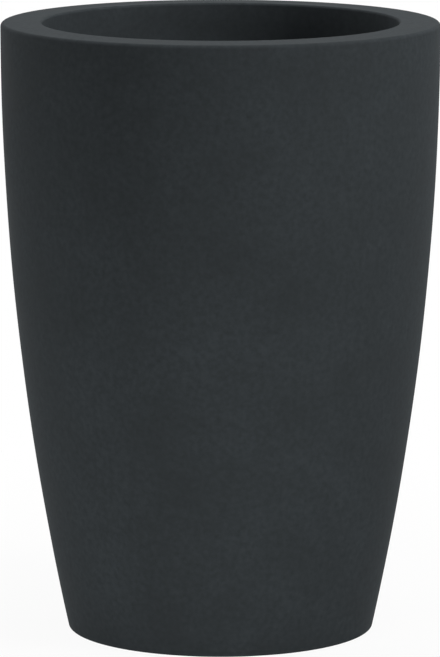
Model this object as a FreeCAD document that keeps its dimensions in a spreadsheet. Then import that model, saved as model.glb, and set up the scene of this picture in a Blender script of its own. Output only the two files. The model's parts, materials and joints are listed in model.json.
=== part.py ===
import FreeCAD, Part
import math
import os

import Sketcher

# Tall round floor planter: a moulded shell and a lift-out planting insert with a water reserve.
# Millimetres, +Z up. The origin is the middle of the foot ring on the floor, and the front is -Y.

# Sizes that can be set one by one: name, value, meaning. Angles are in degrees.
DIMENSIONS = (
    ("pot_height", 560, "floor to top of rim"),
    ("top_diameter", 400, "outside of the rim"),
    ("base_diameter", 280, "outside of the wall at the floor"),
    ("shell_wall", 4.5, "moulded skin of the shell"),
    ("rim_width", 37.5, "flat rim, outer wall to inner lip"),
    ("upright_band", 8, "upright top of the wall, above its bow"),
    ("rim_outer_edge", 4.5, "rounding of the rim's outer edge"),
    ("rim_inner_edge", 2.5, "rounding of the rim's inner edge"),
    ("base_edge", 2.5, "rounding of the base corner"),
    ("lip_draft", 1, "how far the inner lip closes in down to the ledge"),
    ("ledge_depth", 60, "rim down to the insert's ledge"),
    ("ledge_width", 10, "ledge that carries the insert"),
    ("skirt_height", 22, "trimmed skirt below the ledge"),
    ("foot_ring_width", 22, "ring that stands on the floor"),
    ("foot_recess", 6, "raised middle of the base"),
    ("recess_lean", 45, "lean of the raised middle's side"),
    ("drain_hole", 22, "hole in the middle of the base"),
    ("insert_depth", 280, "flange down to the underside of the insert"),
    ("insert_wall", 2.8, "moulded wall of the insert"),
    ("insert_draft", 3.5, "lean of the insert's wall"),
    ("flange_thickness", 3, "flange of the insert"),
    ("flange_clearance", 0.8, "flange to inner lip"),
    ("handle_gap", 8, "insert wall to ledge, where the handles' legs pass"),
    ("insert_edge", 6, "rounding of the insert's bottom corner"),
    ("reserve_depth", 62, "water reserve under the separator"),
    ("shoulder_width", 5, "step that carries the separator"),
    ("reserve_hole", 16, "drain hole of the reserve"),
    ("handle_span", 48, "angle that a handle covers"),
    ("leg_span", 7.5, "angle that a handle's leg covers"),
    ("leg_thickness", 4, "radial thickness of a leg"),
    ("slot_clearance", 0.4, "leg to slot, all round"),
    ("handle_travel", 42, "how far a handle pulls up"),
    ("stop_height", 6, "stop at the foot of a leg"),
    ("stop_span", 1.4, "angle that a stop stands out beside its leg"),
    ("stop_clearance", 0.5, "stop to flange with the handle up"),
    ("grip_width", 11, "radial width of the grip"),
    ("grip_height", 8, "height of the grip"),
    ("grip_edge", 2.5, "rounding of the grip"),
    ("separator_thickness", 3, "slotted plate"),
    ("separator_clearance", 0.8, "plate to insert wall"),
    ("rib_depth", 8, "ribs under the plate"),
    ("rib_thickness", 2.5, "ribs under the plate"),
    ("rib_count", 12, "spokes under the plate"),
    ("inner_slots", 3, "slots between two spokes, inner row"),
    ("outer_slots", 4, "slots between two spokes, outer row"),
    ("slot_width", 3.5, "slots of the plate"),
    ("slot_margin", 5, "plate left between slots and edges"),
    ("basket_diameter", 86, "outside of the wick basket under its flange"),
    ("basket_flange", 5, "flange of the basket"),
    ("basket_clearance", 0.8, "basket to plate"),
    ("basket_wall", 2, "wall of the basket"),
    ("basket_draft", 8, "lean of the basket's wall"),
    ("basket_gap", 2, "underside of the basket to the reserve's floor"),
    ("basket_slit", 3, "width of a slit"),
    ("basket_slits", 12, "slits round the basket"),
    ("slit_margin", 6, "basket wall left above and below the slits"),
    ("filler_diameter", 40, "outside of the filler tube"),
    ("filler_wall", 2, "wall of the filler tube"),
    ("filler_rise", 2, "filler tube above the flange"),
    ("tube_wall_gap", 3, "tubes to the wall of the reserve"),
    ("tube_clearance", 0.4, "tubes to their collars"),
    ("collar_wall", 4, "collars round the tubes"),
    ("notch_height", 14, "notches at the foot of the tubes"),
    ("notch_width", 8, "notches at the foot of the tubes"),
    ("notch_count", 4, "notches at the foot of a tube"),
    ("cap_overhang", 3, "filler cap beyond its tube"),
    ("cap_thickness", 3, "top of the filler cap"),
    ("cap_spigot", 10, "depth of the filler cap's spigot"),
    ("cap_wall", 1.8, "wall of the spigot"),
    ("cap_clearance", 0.4, "spigot to tube"),
    ("gauge_diameter", 20, "outside of the gauge tube"),
    ("gauge_wall", 1.5, "wall of the gauge tube"),
    ("gauge_angle", 60, "place of the gauge round the insert, from +X"),
    ("gauge_drop", 3, "top of the gauge tube below the flange's top"),
    ("gauge_skirt", 8, "skirt of the gauge cap"),
    ("gauge_cap_wall", 1.6, "wall of the gauge cap"),
    ("gauge_cap_clearance", 0.1, "gauge cap to its tube"),
    ("float_clearance", 0.9, "float to tube"),
    ("float_length", 36, "height of the float"),
    ("float_travel", 45, "rise of the float from empty to full"),
    ("rod_diameter", 5, "indicator rod"),
    ("rod_seat", 12, "depth of the rod in the float"),
    ("rod_clearance", 0.05, "rod to float"),
    ("tip_diameter", 11, "indicator tip"),
    ("tip_length", 12, "indicator tip"),
    ("tip_headroom", 3, "tip to gauge cap with the reserve full"),
    ("bung_clearance", 0.15, "bung stem to its hole"),
    ("bung_flange", 6, "bung head beyond its hole"),
    ("bung_head", 4, "thickness of a bung's head"),
    ("bung_tail", 2.5, "stem below the hole"),
    ("fin_thickness", 4, "finger grips of caps and bungs"),
    ("fin_height", 9, "finger grips of caps and bungs"),
    ("small_edge", 1, "broken edges of small mouldings"),
)

# Radii and heights that follow from the sizes, shared by the pieces that meet there.
RADII_AND_LEVELS = (
    ("rim_radius", "dims.top_diameter / 2"),
    ("base_radius", "dims.base_diameter / 2"),
    ("bow_top", "dims.pot_height - dims.upright_band"),
    ("bow_radius", "(bow_top^2 + (rim_radius - base_radius)^2) / (2 * (rim_radius - base_radius))"),
    ("bow_centre", "rim_radius - bow_radius"),
    ("corner_radius", "bow_radius - dims.base_edge"),
    ("corner_x", "bow_centre + sqrt(corner_radius^2 - (bow_top - dims.base_edge)^2)"),
    ("corner_top_x", "bow_centre + (corner_x - bow_centre) * bow_radius / corner_radius"),
    ("corner_top_z", "bow_top - (bow_top - dims.base_edge) * bow_radius / corner_radius"),
    ("inner_bow_radius", "bow_radius - dims.shell_wall"),
    ("inner_foot", "bow_centre + sqrt(inner_bow_radius^2 - (bow_top - dims.shell_wall)^2)"),
    ("recess_radius", "base_radius - dims.foot_ring_width"),
    ("recess_top_radius", "recess_radius - dims.foot_recess / tan(dims.recess_lean)"),
    ("recess_mitre", "dims.shell_wall * tan(dims.recess_lean / 2)"),
    ("pot_floor_z", "dims.foot_recess + dims.shell_wall"),
    ("mouth_radius", "rim_radius - dims.rim_width"),
    ("lip_radius", "mouth_radius - dims.lip_draft"),
    ("ledge_z", "dims.pot_height - dims.ledge_depth"),
    ("ledge_radius", "lip_radius - dims.ledge_width"),
    ("flange_radius", "lip_radius - dims.flange_clearance"),
    ("flange_top_z", "ledge_z + dims.flange_thickness"),
    ("insert_radius", "ledge_radius - dims.handle_gap"),
    ("insert_base_z", "ledge_z - dims.insert_depth"),
    ("reserve_floor_z", "insert_base_z + dims.insert_wall"),
    ("shoulder_z", "reserve_floor_z + dims.reserve_depth"),
    ("wall_slope", "tan(dims.insert_draft)"),
    ("shoulder_radius", "insert_radius - dims.insert_wall - (ledge_z - shoulder_z) * wall_slope"),
    ("sump_radius", "shoulder_radius - dims.shoulder_width"),
    ("sump_floor_radius", "sump_radius - dims.reserve_depth * wall_slope"),
    ("sump_neck_radius", "sump_radius + dims.insert_wall * (1 - wall_slope)"),
    ("sump_foot_radius", "sump_floor_radius + dims.insert_wall * (1 - wall_slope)"),
    ("shoulder_foot_radius", "shoulder_radius + dims.insert_wall * (1 - wall_slope)"),
    ("leg_inner", "(insert_radius + ledge_radius - dims.leg_thickness) / 2"),
    ("leg_outer", "leg_inner + dims.leg_thickness"),
    ("leg_angle", "(dims.handle_span - dims.leg_span) / 2"),
    ("slot_span", "dims.leg_span + 2 * dims.slot_clearance / leg_inner * 180 / pi"),
    ("leg_length", "dims.flange_thickness + dims.handle_travel + dims.stop_clearance + dims.stop_height"),
    ("separator_radius", "shoulder_radius - dims.separator_clearance"),
    ("basket_radius", "dims.basket_diameter / 2"),
    ("basket_seat_radius", "basket_radius + dims.basket_clearance + dims.basket_flange"),
    ("basket_seat_depth", "dims.separator_thickness / 2"),
    ("basket_depth", "dims.reserve_depth + dims.separator_thickness - basket_seat_depth - dims.basket_gap"),
    ("basket_foot_radius", "basket_radius - basket_depth * tan(dims.basket_draft)"),
    ("spoke_inner", "basket_seat_radius + dims.rib_thickness / 2"),
    ("slots_inner", "basket_seat_radius + dims.rib_thickness + dims.slot_margin"),
    ("slots_outer", "sump_radius - dims.slot_margin"),
    ("slots_middle", "(slots_inner + slots_outer) / 2"),
    ("filler_radius", "dims.filler_diameter / 2"),
    ("filler_y", "sump_floor_radius - dims.tube_wall_gap - filler_radius"),
    ("filler_length", "flange_top_z + dims.filler_rise - reserve_floor_z"),
    ("gauge_radius", "dims.gauge_diameter / 2"),
    ("gauge_reach", "sump_floor_radius - dims.tube_wall_gap - gauge_radius"),
    ("gauge_x", "gauge_reach * cos(dims.gauge_angle)"),
    ("gauge_y", "gauge_reach * sin(dims.gauge_angle)"),
    ("gauge_length", "flange_top_z - dims.gauge_drop - reserve_floor_z"),
    ("float_radius", "gauge_radius - dims.gauge_wall - dims.float_clearance"),
    ("rod_z", "reserve_floor_z + dims.float_length - dims.rod_seat"),
    ("rod_top", "reserve_floor_z + gauge_length - dims.tip_headroom - dims.float_travel - rod_z"),
    ("reserve_plug_y", "-(basket_foot_radius + sump_floor_radius) / 2"),
)

# Side of the way round an outline on which an arc's centre lies.
LEFT, RIGHT = 1, -1

# Lengths closer than this are taken as equal.
TOLERANCE = 1e-4

# Sketcher's numbers for the points of an edge, for a sketch's own axes and for its origin.
START, END, CENTRE = range(1, 4)
H_AXIS, V_AXIS = range(-1, -3, -1)
ORIGIN = (H_AXIS, START)

document = FreeCAD.newDocument("floor_planter")


def fill_sheet(name, cells):
    """Make a sheet with one named cell per row: name, content and meaning."""
    sheet = document.addObject("Spreadsheet::Sheet", name)
    for row, (alias, content, meaning) in enumerate(cells, start=1):
        sheet.set(f"A{row}", alias)
        sheet.set(f"B{row}", content)
        sheet.set(f"C{row}", meaning)
        sheet.setAlias(f"B{row}", alias)
    document.recompute()
    return sheet


dims_sheet = fill_sheet("dims", [(name, str(value), meaning) for name, value, meaning in DIMENSIONS])
fill_sheet("derived", [(name, f"={rule}", "follows") for name, rule in RADII_AND_LEVELS])


def number(expression):
    """Value of an expression at the sheet's present sizes."""
    return float(dims_sheet.evalExpression(expression))


def new_body(label, x="0", y="0", z="0", turn=0):
    """Body with its own label, placed by expressions and turned about Z by so many degrees."""
    body = document.addObject("PartDesign::Body", label)
    body.Label = label
    body.Placement = FreeCAD.Placement(FreeCAD.Vector(), FreeCAD.Rotation(FreeCAD.Vector(0, 0, 1), turn))
    for axis, expression in zip("xyz", (x, y, z)):
        body.setExpression(f"Placement.Base.{axis}", expression)
    return body


def origin_part(body, role):
    """Plane or axis of the body's own origin."""
    return next(item for item in body.Origin.OriginFeatures if item.Role == role)


def new_sketch(body, name, role="XZ_Plane", height="0", turn="0"):
    """Sketch on an origin plane: an XY one lifted to a height, an XZ one turned about Z."""
    sketch = body.newObject("Sketcher::SketchObject", name)
    sketch.AttachmentSupport = [(origin_part(body, role), "")]
    sketch.MapMode = "FlatFace"
    upright = FreeCAD.Vector(0, 1, 0)
    sketch.AttachmentOffset = FreeCAD.Placement(FreeCAD.Vector(), FreeCAD.Rotation(upright, number(turn)))
    sketch.setExpression("AttachmentOffset.Base.z", height)
    sketch.setExpression("AttachmentOffset.Rotation.Angle", turn)
    return sketch


def bind(sketch, constraint, expression):
    """Add a constraint whose value follows an expression."""
    index = sketch.addConstraint(constraint)
    sketch.setExpression(f"Constraints[{index}]", expression)


def pin_point(sketch, edge, end, x, y):
    """Hold a point of an edge at the expressions x and y, measured from the sketch's origin."""
    for kind, axis, expression in (("DistanceX", V_AXIS, x), ("DistanceY", H_AXIS, y)):
        value = number(expression)
        if abs(value) < TOLERANCE:
            sketch.addConstraint(Sketcher.Constraint("PointOnObject", edge, end, axis))
        elif value > 0:
            bind(sketch, Sketcher.Constraint(kind, *ORIGIN, edge, end, value), expression)
        else:
            bind(sketch, Sketcher.Constraint(kind, edge, end, *ORIGIN, -value), f"-({expression})")


def arc_between(start, end, radius, side):
    """Short arc from start to end whose centre lies on the given side of the way from start to end."""
    chord = end - start
    across = FreeCAD.Vector(-chord.y, chord.x, 0) * (side / chord.Length)
    centre = (start + end) * 0.5 + across * math.sqrt(radius**2 - (chord.Length / 2) ** 2)
    first, last = (start, end) if side == LEFT else (end, start)
    first_angle = math.atan2(first.y - centre.y, first.x - centre.x)
    last_angle = math.atan2(last.y - centre.y, last.x - centre.x)
    circle = Part.Circle(centre, FreeCAD.Vector(0, 0, 1), radius)
    return Part.ArcOfCircle(circle, first_angle, last_angle)


def draw_outline(sketch, corners):
    """Closed loop through corners: (x, y) starts a straight edge, (x, y, radius, side) an arc."""
    points = [FreeCAD.Vector(number(corner[0]), number(corner[1]), 0) for corner in corners]
    ends = []
    for index, corner in enumerate(corners):
        start, end = points[index], points[(index + 1) % len(points)]
        if len(corner) == 2:
            edge = sketch.addGeometry(Part.LineSegment(start, end), False)
            ends.append((edge, START, END))
            continue
        radius, side = corner[2:]
        edge = sketch.addGeometry(arc_between(start, end, number(radius), side), False)
        ends.append((edge, START, END) if side == LEFT else (edge, END, START))
    for (edge, start_end, _), (before, _, before_end), corner in zip(ends, ends[-1:] + ends[:-1], corners):
        sketch.addConstraint(Sketcher.Constraint("Coincident", before, before_end, edge, start_end))
        pin_point(sketch, edge, start_end, corner[0], corner[1])
    for (edge, _, _), corner in zip(ends, corners):
        if len(corner) == 4:
            bind(sketch, Sketcher.Constraint("Radius", edge, number(corner[2])), corner[2])


def draw_rectangle(sketch, left, bottom, right, top):
    """Rectangle from its lower left to its upper right corner."""
    draw_outline(sketch, [(left, bottom), (right, bottom), (right, top), (left, top)])


def draw_spoke(sketch, start, end, width, angle):
    """Bar of the given width along a radius, between two distances from the middle, at an angle."""
    corners = []
    for along, side in ((start, "-"), (end, "-"), (end, "+"), (start, "+")):
        x = f"({along}) * cos({angle}) - ({side}{width} / 2) * sin({angle})"
        y = f"({along}) * sin({angle}) + ({side}{width} / 2) * cos({angle})"
        corners.append((x, y))
    draw_outline(sketch, corners)


def draw_circle(sketch, x, y, radius):
    """Circle about (x, y)."""
    centre = FreeCAD.Vector(number(x), number(y), 0)
    edge = sketch.addGeometry(Part.Circle(centre, FreeCAD.Vector(0, 0, 1), number(radius)), False)
    pin_point(sketch, edge, CENTRE, x, y)
    bind(sketch, Sketcher.Constraint("Radius", edge, number(radius)), radius)


def add_feature(body, kind, sketch, **settings):
    """Sketch-based feature of a body; text settings are expressions. It adds or cuts, as its kind says."""
    volume_before = body.Tip.Shape.Volume if body.Tip else 0
    feature = body.newObject(f"PartDesign::{kind}", f"{sketch.Name}_{kind}")
    feature.Profile = sketch
    if kind in ("Revolution", "Groove"):
        feature.ReferenceAxis = (sketch, ["V_Axis"])
    for name, setting in settings.items():
        if isinstance(setting, str):
            feature.setExpression(name, setting)
        else:
            setattr(feature, name, setting)
    document.recompute()
    added = feature.Shape.Volume - volume_before
    if (kind in ("Pocket", "Groove")) == (added >= 0):
        raise ValueError(f"{feature.Name} changes the volume by {added}")
    return feature


def repeat_round(body, feature, count):
    """Repeat a feature evenly round the body's Z axis."""
    pattern = body.newObject("PartDesign::PolarPattern", f"{feature.Name}_round")
    pattern.Originals = [feature]
    pattern.Axis = (origin_part(body, "Z_Axis"), [""])
    pattern.Angle = 360
    pattern.setExpression("Occurrences", count)
    body.Tip = pattern
    document.recompute()


def round_rings(body, name, rings, radius):
    """Round the circular edges that lie at the given radii and heights."""
    base = body.Tip
    wanted = [(number(ring_radius), number(height)) for ring_radius, height in rings]
    edges = []
    for index, edge in enumerate(base.Shape.Edges, start=1):
        if not isinstance(edge.Curve, Part.Circle):
            continue
        for ring_radius, height in wanted:
            same_radius = abs(edge.Curve.Radius - ring_radius) < TOLERANCE
            if same_radius and abs(edge.Curve.Center.z - height) < TOLERANCE:
                edges.append(f"Edge{index}")
    if len(edges) != len(wanted):
        raise ValueError(f"{name}: found {edges} for {wanted}")
    rounding = body.newObject("PartDesign::Fillet", name)
    rounding.Base = (base, edges)
    rounding.setExpression("Radius", radius)
    document.recompute()


def make_planter_shell():
    """Bowed outer wall, closed rim, inner lip with the insert's ledge, floor with a foot ring."""
    body = new_body("planter_shell")
    section = new_sketch(body, "shell_section")
    draw_outline(section, [
        ("0", "dims.foot_recess"),
        ("derived.recess_top_radius", "dims.foot_recess"),
        ("derived.recess_radius", "0"),
        ("derived.corner_x", "0", "dims.base_edge", LEFT),
        ("derived.corner_top_x", "derived.corner_top_z", "derived.bow_radius", LEFT),
        ("derived.rim_radius", "derived.bow_top"),
        ("derived.rim_radius", "dims.pot_height - dims.rim_outer_edge", "dims.rim_outer_edge", LEFT),
        ("derived.rim_radius - dims.rim_outer_edge", "dims.pot_height"),
        ("derived.mouth_radius + dims.rim_inner_edge", "dims.pot_height", "dims.rim_inner_edge", LEFT),
        ("derived.mouth_radius", "dims.pot_height - dims.rim_inner_edge"),
        ("derived.lip_radius", "derived.ledge_z"),
        ("derived.ledge_radius", "derived.ledge_z"),
        ("derived.ledge_radius", "derived.ledge_z - dims.skirt_height"),
        ("derived.ledge_radius + dims.shell_wall", "derived.ledge_z - dims.skirt_height"),
        ("derived.ledge_radius + dims.shell_wall", "derived.ledge_z - dims.shell_wall"),
        ("derived.lip_radius + dims.shell_wall", "derived.ledge_z - dims.shell_wall"),
        ("derived.mouth_radius + dims.shell_wall", "dims.pot_height - dims.shell_wall"),
        ("derived.rim_radius - dims.shell_wall", "dims.pot_height - dims.shell_wall"),
        ("derived.rim_radius - dims.shell_wall", "derived.bow_top", "derived.inner_bow_radius", RIGHT),
        ("derived.inner_foot", "dims.shell_wall"),
        ("derived.recess_radius + derived.recess_mitre", "dims.shell_wall"),
        ("derived.recess_top_radius + derived.recess_mitre", "derived.pot_floor_z"),
        ("0", "derived.pot_floor_z"),
    ])
    add_feature(body, "Revolution", section, Angle=360)
    hole = new_sketch(body, "shell_drain", "XY_Plane", "dims.foot_recess")
    draw_circle(hole, "0", "0", "dims.drain_hole / 2")
    add_feature(body, "Pocket", hole, Length="dims.shell_wall", Reversed=True)
    return body


def make_planting_insert():
    """Tapered liner with a flange, a shoulder for the separator and a narrower sump for the reserve."""
    body = new_body("planting_insert")
    section = new_sketch(body, "insert_section")
    shoulder_underside = "derived.shoulder_z - dims.insert_wall"
    draw_outline(section, [
        ("0", "derived.insert_base_z"),
        ("derived.sump_foot_radius", "derived.insert_base_z"),
        ("derived.sump_neck_radius", shoulder_underside),
        ("derived.shoulder_foot_radius", shoulder_underside),
        ("derived.insert_radius", "derived.ledge_z"),
        ("derived.flange_radius", "derived.ledge_z"),
        ("derived.flange_radius", "derived.flange_top_z"),
        ("derived.insert_radius - dims.insert_wall", "derived.flange_top_z"),
        ("derived.shoulder_radius", "derived.shoulder_z"),
        ("derived.sump_radius", "derived.shoulder_z"),
        ("derived.sump_floor_radius", "derived.reserve_floor_z"),
        ("0", "derived.reserve_floor_z"),
    ])
    add_feature(body, "Revolution", section, Angle=360)
    round_rings(body, "insert_corner", [("derived.sump_foot_radius", "derived.insert_base_z")],
                "dims.insert_edge")
    flange_edges = [("derived.flange_radius", "derived.flange_top_z"),
                    ("derived.insert_radius - dims.insert_wall", "derived.flange_top_z")]
    round_rings(body, "flange_edges", flange_edges, "dims.small_edge")
    for side, turn in (("right_front", "-derived.leg_angle"), ("right_back", "derived.leg_angle"),
                       ("left_back", "180 - derived.leg_angle"), ("left_front", "180 + derived.leg_angle")):
        slot = new_sketch(body, f"slot_{side}", turn=turn)
        draw_rectangle(slot, "derived.leg_inner - dims.slot_clearance", "derived.ledge_z",
                       "derived.leg_outer + dims.slot_clearance", "derived.flange_top_z")
        add_feature(body, "Groove", slot, Midplane=True, Angle="derived.slot_span")
    hole = new_sketch(body, "reserve_drain", "XY_Plane", "derived.insert_base_z")
    draw_circle(hole, "0", "derived.reserve_plug_y", "dims.reserve_hole / 2")
    add_feature(body, "Pocket", hole, Length="dims.insert_wall", Reversed=True)
    return body


def make_lift_handle(label, turn):
    """Curved grip on the flange with two legs through it; stops at their feet meet the flange."""
    body = new_body(label, z="derived.flange_top_z", turn=turn)
    grip = new_sketch(body, f"{label}_grip")
    inner = "((derived.leg_inner + derived.leg_outer - dims.grip_width) / 2)"
    outer = f"({inner} + dims.grip_width)"
    draw_outline(grip, [
        (inner, "0"),
        (outer, "0"),
        (outer, "dims.grip_height - dims.grip_edge", "dims.grip_edge", LEFT),
        (f"{outer} - dims.grip_edge", "dims.grip_height"),
        (f"{inner} + dims.grip_edge", "dims.grip_height", "dims.grip_edge", LEFT),
        (inner, "dims.grip_height - dims.grip_edge"),
    ])
    add_feature(body, "Revolution", grip, Midplane=True, Angle="dims.handle_span")
    legs = new_sketch(body, f"{label}_legs")
    draw_rectangle(legs, "derived.leg_inner", "-derived.leg_length",
                   "derived.leg_outer", "dims.grip_height / 2")
    add_feature(body, "Revolution", legs, Midplane=True, Angle="dims.handle_span")
    stops = new_sketch(body, f"{label}_stops")
    draw_rectangle(stops, "derived.leg_inner", "-derived.leg_length",
                   "derived.leg_outer", "dims.stop_height - derived.leg_length")
    add_feature(body, "Revolution", stops, Midplane=True, Angle="dims.handle_span + 2 * dims.stop_span")
    window = new_sketch(body, f"{label}_window")
    draw_rectangle(window, "derived.leg_inner - dims.leg_thickness", "-derived.leg_length",
                   "derived.leg_outer + dims.leg_thickness", "0")
    add_feature(body, "Groove", window, Midplane=True, Angle="dims.handle_span - 2 * dims.leg_span")
    return body


def add_fin(body, name, height, length):
    """Upright finger grip with rounded corners across the top of a cap or bung."""
    fin = new_sketch(body, name, "XY_Plane", height)
    x, y, edge = f"({length} / 2)", "(dims.fin_thickness / 2)", "dims.small_edge"
    draw_outline(fin, [
        (f"{edge} - {x}", f"-{y}"),
        (f"{x} - {edge}", f"-{y}", edge, LEFT),
        (x, f"{edge} - {y}"),
        (x, f"{y} - {edge}", edge, LEFT),
        (f"{x} - {edge}", y),
        (f"{edge} - {x}", y, edge, LEFT),
        (f"-{x}", f"{y} - {edge}"),
        (f"-{x}", f"{edge} - {y}", edge, LEFT),
    ])
    add_feature(body, "Pad", fin, Length="dims.fin_height")


def make_bung(label, hole, wall, **place):
    """Rubber bung: a head that lies on the floor round the hole, a stem through it and a finger grip."""
    body = new_body(label, **place)
    section = new_sketch(body, f"{label}_section")
    stem, head = f"({hole} / 2 - dims.bung_clearance)", f"({hole} / 2 + dims.bung_flange)"
    tail = f"({wall} + dims.bung_tail)"
    draw_outline(section, [
        ("0", f"-{tail}"),
        (f"{stem} - dims.small_edge", f"-{tail}"),
        (stem, f"dims.small_edge - {tail}"),
        (stem, "0"),
        (head, "0"),
        (head, "dims.bung_head - dims.small_edge", "dims.small_edge", LEFT),
        (f"{head} - dims.small_edge", "dims.bung_head"),
        ("0", "dims.bung_head"),
    ])
    add_feature(body, "Revolution", section, Angle=360)
    add_fin(body, f"{label}_fin", "dims.bung_head", f"({head} + {stem})")
    return body


def make_separator_floor():
    """Slotted plate with a basket seat and ribs; plain fields with collars take the two tubes."""
    body = new_body("separator_floor", z="derived.shoulder_z")
    section = new_sketch(body, "plate_section")
    hole = "derived.basket_radius + dims.basket_clearance"
    ring_outer = "derived.basket_seat_radius + dims.rib_thickness"
    draw_outline(section, [
        (hole, "0"),
        ("derived.basket_seat_radius", "0"),
        ("derived.basket_seat_radius", "-dims.rib_depth"),
        (ring_outer, "-dims.rib_depth"),
        (ring_outer, "0"),
        ("derived.separator_radius", "0"),
        ("derived.separator_radius", "dims.separator_thickness"),
        ("derived.basket_seat_radius", "dims.separator_thickness"),
        ("derived.basket_seat_radius", "derived.basket_seat_depth"),
        (hole, "derived.basket_seat_depth"),
    ])
    add_feature(body, "Revolution", section, Angle=360)
    spoke = new_sketch(body, "spoke", "XY_Plane")
    draw_spoke(spoke, "derived.spoke_inner", "derived.slots_outer", "dims.rib_thickness",
               "(180 / dims.rib_count)")
    rib = add_feature(body, "Pad", spoke, Length="dims.rib_depth", Reversed=True)
    repeat_round(body, rib, "dims.rib_count")
    slots = new_sketch(body, "plate_slots", "XY_Plane")
    draw_slot_row(slots, "dims.inner_slots", "derived.slots_inner",
                  "derived.slots_middle - dims.slot_margin / 2")
    draw_slot_row(slots, "dims.outer_slots", "derived.slots_middle + dims.slot_margin / 2",
                  "derived.slots_outer")
    cut = add_feature(body, "Pocket", slots, Length="dims.separator_thickness", Reversed=True)
    repeat_round(body, cut, "dims.rib_count")
    for name, angle in (("filler_field", "90"), ("gauge_field", "dims.gauge_angle")):
        field = new_sketch(body, name, turn=angle)
        draw_rectangle(field, "derived.slots_middle", "0", "derived.sump_radius", "dims.separator_thickness")
        add_feature(body, "Revolution", field, Midplane=True, Angle="360 / dims.rib_count")
    collars = new_sketch(body, "collars", "XY_Plane", "-dims.rib_depth")
    bores = new_sketch(body, "bores", "XY_Plane", "-dims.rib_depth")
    for x, y, radius in (("0", "derived.filler_y", "derived.filler_radius"),
                         ("derived.gauge_x", "derived.gauge_y", "derived.gauge_radius")):
        draw_circle(collars, x, y, f"{radius} + dims.tube_clearance + dims.collar_wall")
        draw_circle(bores, x, y, f"{radius} + dims.tube_clearance")
    add_feature(body, "Pad", collars, Length="dims.rib_depth + dims.separator_thickness")
    add_feature(body, "Pocket", bores, Length="dims.rib_depth + dims.separator_thickness", Reversed=True)
    return body


def draw_slot_row(sketch, count, start, end):
    """Radial slots, spaced evenly between two spokes."""
    slots = int(number(count))
    for place in range(slots):
        angle = f"(360 / dims.rib_count * {place + 0.5 - slots / 2} / ({count} + 1))"
        draw_spoke(sketch, start, end, "dims.slot_width", angle)


def make_wick_basket():
    """Tapered basket that hangs by its flange in the separator, with slits round its wall."""
    body = new_body("wick_basket", z="derived.shoulder_z + derived.basket_seat_depth")
    section = new_sketch(body, "basket_section")
    slope = "tan(dims.basket_draft)"
    flange = "(dims.separator_thickness - derived.basket_seat_depth)"
    draw_outline(section, [
        ("0", "-derived.basket_depth"),
        ("derived.basket_foot_radius", "-derived.basket_depth"),
        ("derived.basket_radius", "0"),
        ("derived.basket_radius + dims.basket_flange", "0"),
        ("derived.basket_radius + dims.basket_flange", flange),
        (f"derived.basket_radius - dims.basket_wall + {flange} * {slope}", flange),
        (f"derived.basket_foot_radius - dims.basket_wall * (1 - {slope})",
         "dims.basket_wall - derived.basket_depth"),
        ("0", "dims.basket_wall - derived.basket_depth"),
    ])
    add_feature(body, "Revolution", section, Angle=360)
    slit = new_sketch(body, "basket_slit")
    draw_rectangle(slit, "-dims.basket_slit / 2", "dims.slit_margin - derived.basket_depth",
                   "dims.basket_slit / 2", "-dims.slit_margin")
    cut = add_feature(body, "Pocket", slit, Length="derived.basket_radius")
    repeat_round(body, cut, "dims.basket_slits")
    return body


def make_tube(label, radius, wall, length, **place):
    """Upright tube that stands on the reserve's floor, notched at its foot to let the water in."""
    body = new_body(label, z="derived.reserve_floor_z", **place)
    section = new_sketch(body, f"{label}_section", "XY_Plane")
    draw_circle(section, "0", "0", radius)
    draw_circle(section, "0", "0", f"{radius} - {wall}")
    add_feature(body, "Pad", section, Length=length)
    notch = new_sketch(body, f"{label}_notch")
    draw_rectangle(notch, "-dims.notch_width / 2", "0", "dims.notch_width / 2", "dims.notch_height")
    cut = add_feature(body, "Pocket", notch, Length=radius)
    repeat_round(body, cut, "dims.notch_count")
    return body


def make_filler_cap():
    """Flat cap on the end of the filler tube with a hollow spigot in it and a finger grip."""
    body = new_body("filler_cap", y="derived.filler_y", z="derived.reserve_floor_z + derived.filler_length")
    section = new_sketch(body, "filler_cap_section")
    outside = "(derived.filler_radius + dims.cap_overhang)"
    spigot = "(derived.filler_radius - dims.filler_wall - dims.cap_clearance)"
    draw_outline(section, [
        ("0", "0"),
        (f"{spigot} - dims.cap_wall", "0"),
        (f"{spigot} - dims.cap_wall", "-dims.cap_spigot"),
        (spigot, "-dims.cap_spigot"),
        (spigot, "0"),
        (outside, "0"),
        (outside, "dims.cap_thickness - dims.small_edge", "dims.small_edge", LEFT),
        (f"{outside} - dims.small_edge", "dims.cap_thickness"),
        ("0", "dims.cap_thickness"),
    ])
    add_feature(body, "Revolution", section, Angle=360)
    add_fin(body, "filler_cap_fin", "dims.cap_thickness", f"(2 * {spigot})")
    return body


def make_gauge_cap():
    """Clear cap over the end of the gauge tube."""
    body = new_body("gauge_cap", x="derived.gauge_x", y="derived.gauge_y",
                    z="derived.reserve_floor_z + derived.gauge_length")
    section = new_sketch(body, "gauge_cap_section")
    inside = "(derived.gauge_radius + dims.gauge_cap_clearance)"
    outside = f"({inside} + dims.gauge_cap_wall)"
    draw_outline(section, [
        ("0", "0"),
        (inside, "0"),
        (inside, "-dims.gauge_skirt"),
        (outside, "-dims.gauge_skirt"),
        (outside, "dims.gauge_cap_wall - dims.small_edge", "dims.small_edge", LEFT),
        (f"{outside} - dims.small_edge", "dims.gauge_cap_wall"),
        ("0", "dims.gauge_cap_wall"),
    ])
    add_feature(body, "Revolution", section, Angle=360)
    return body


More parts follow.
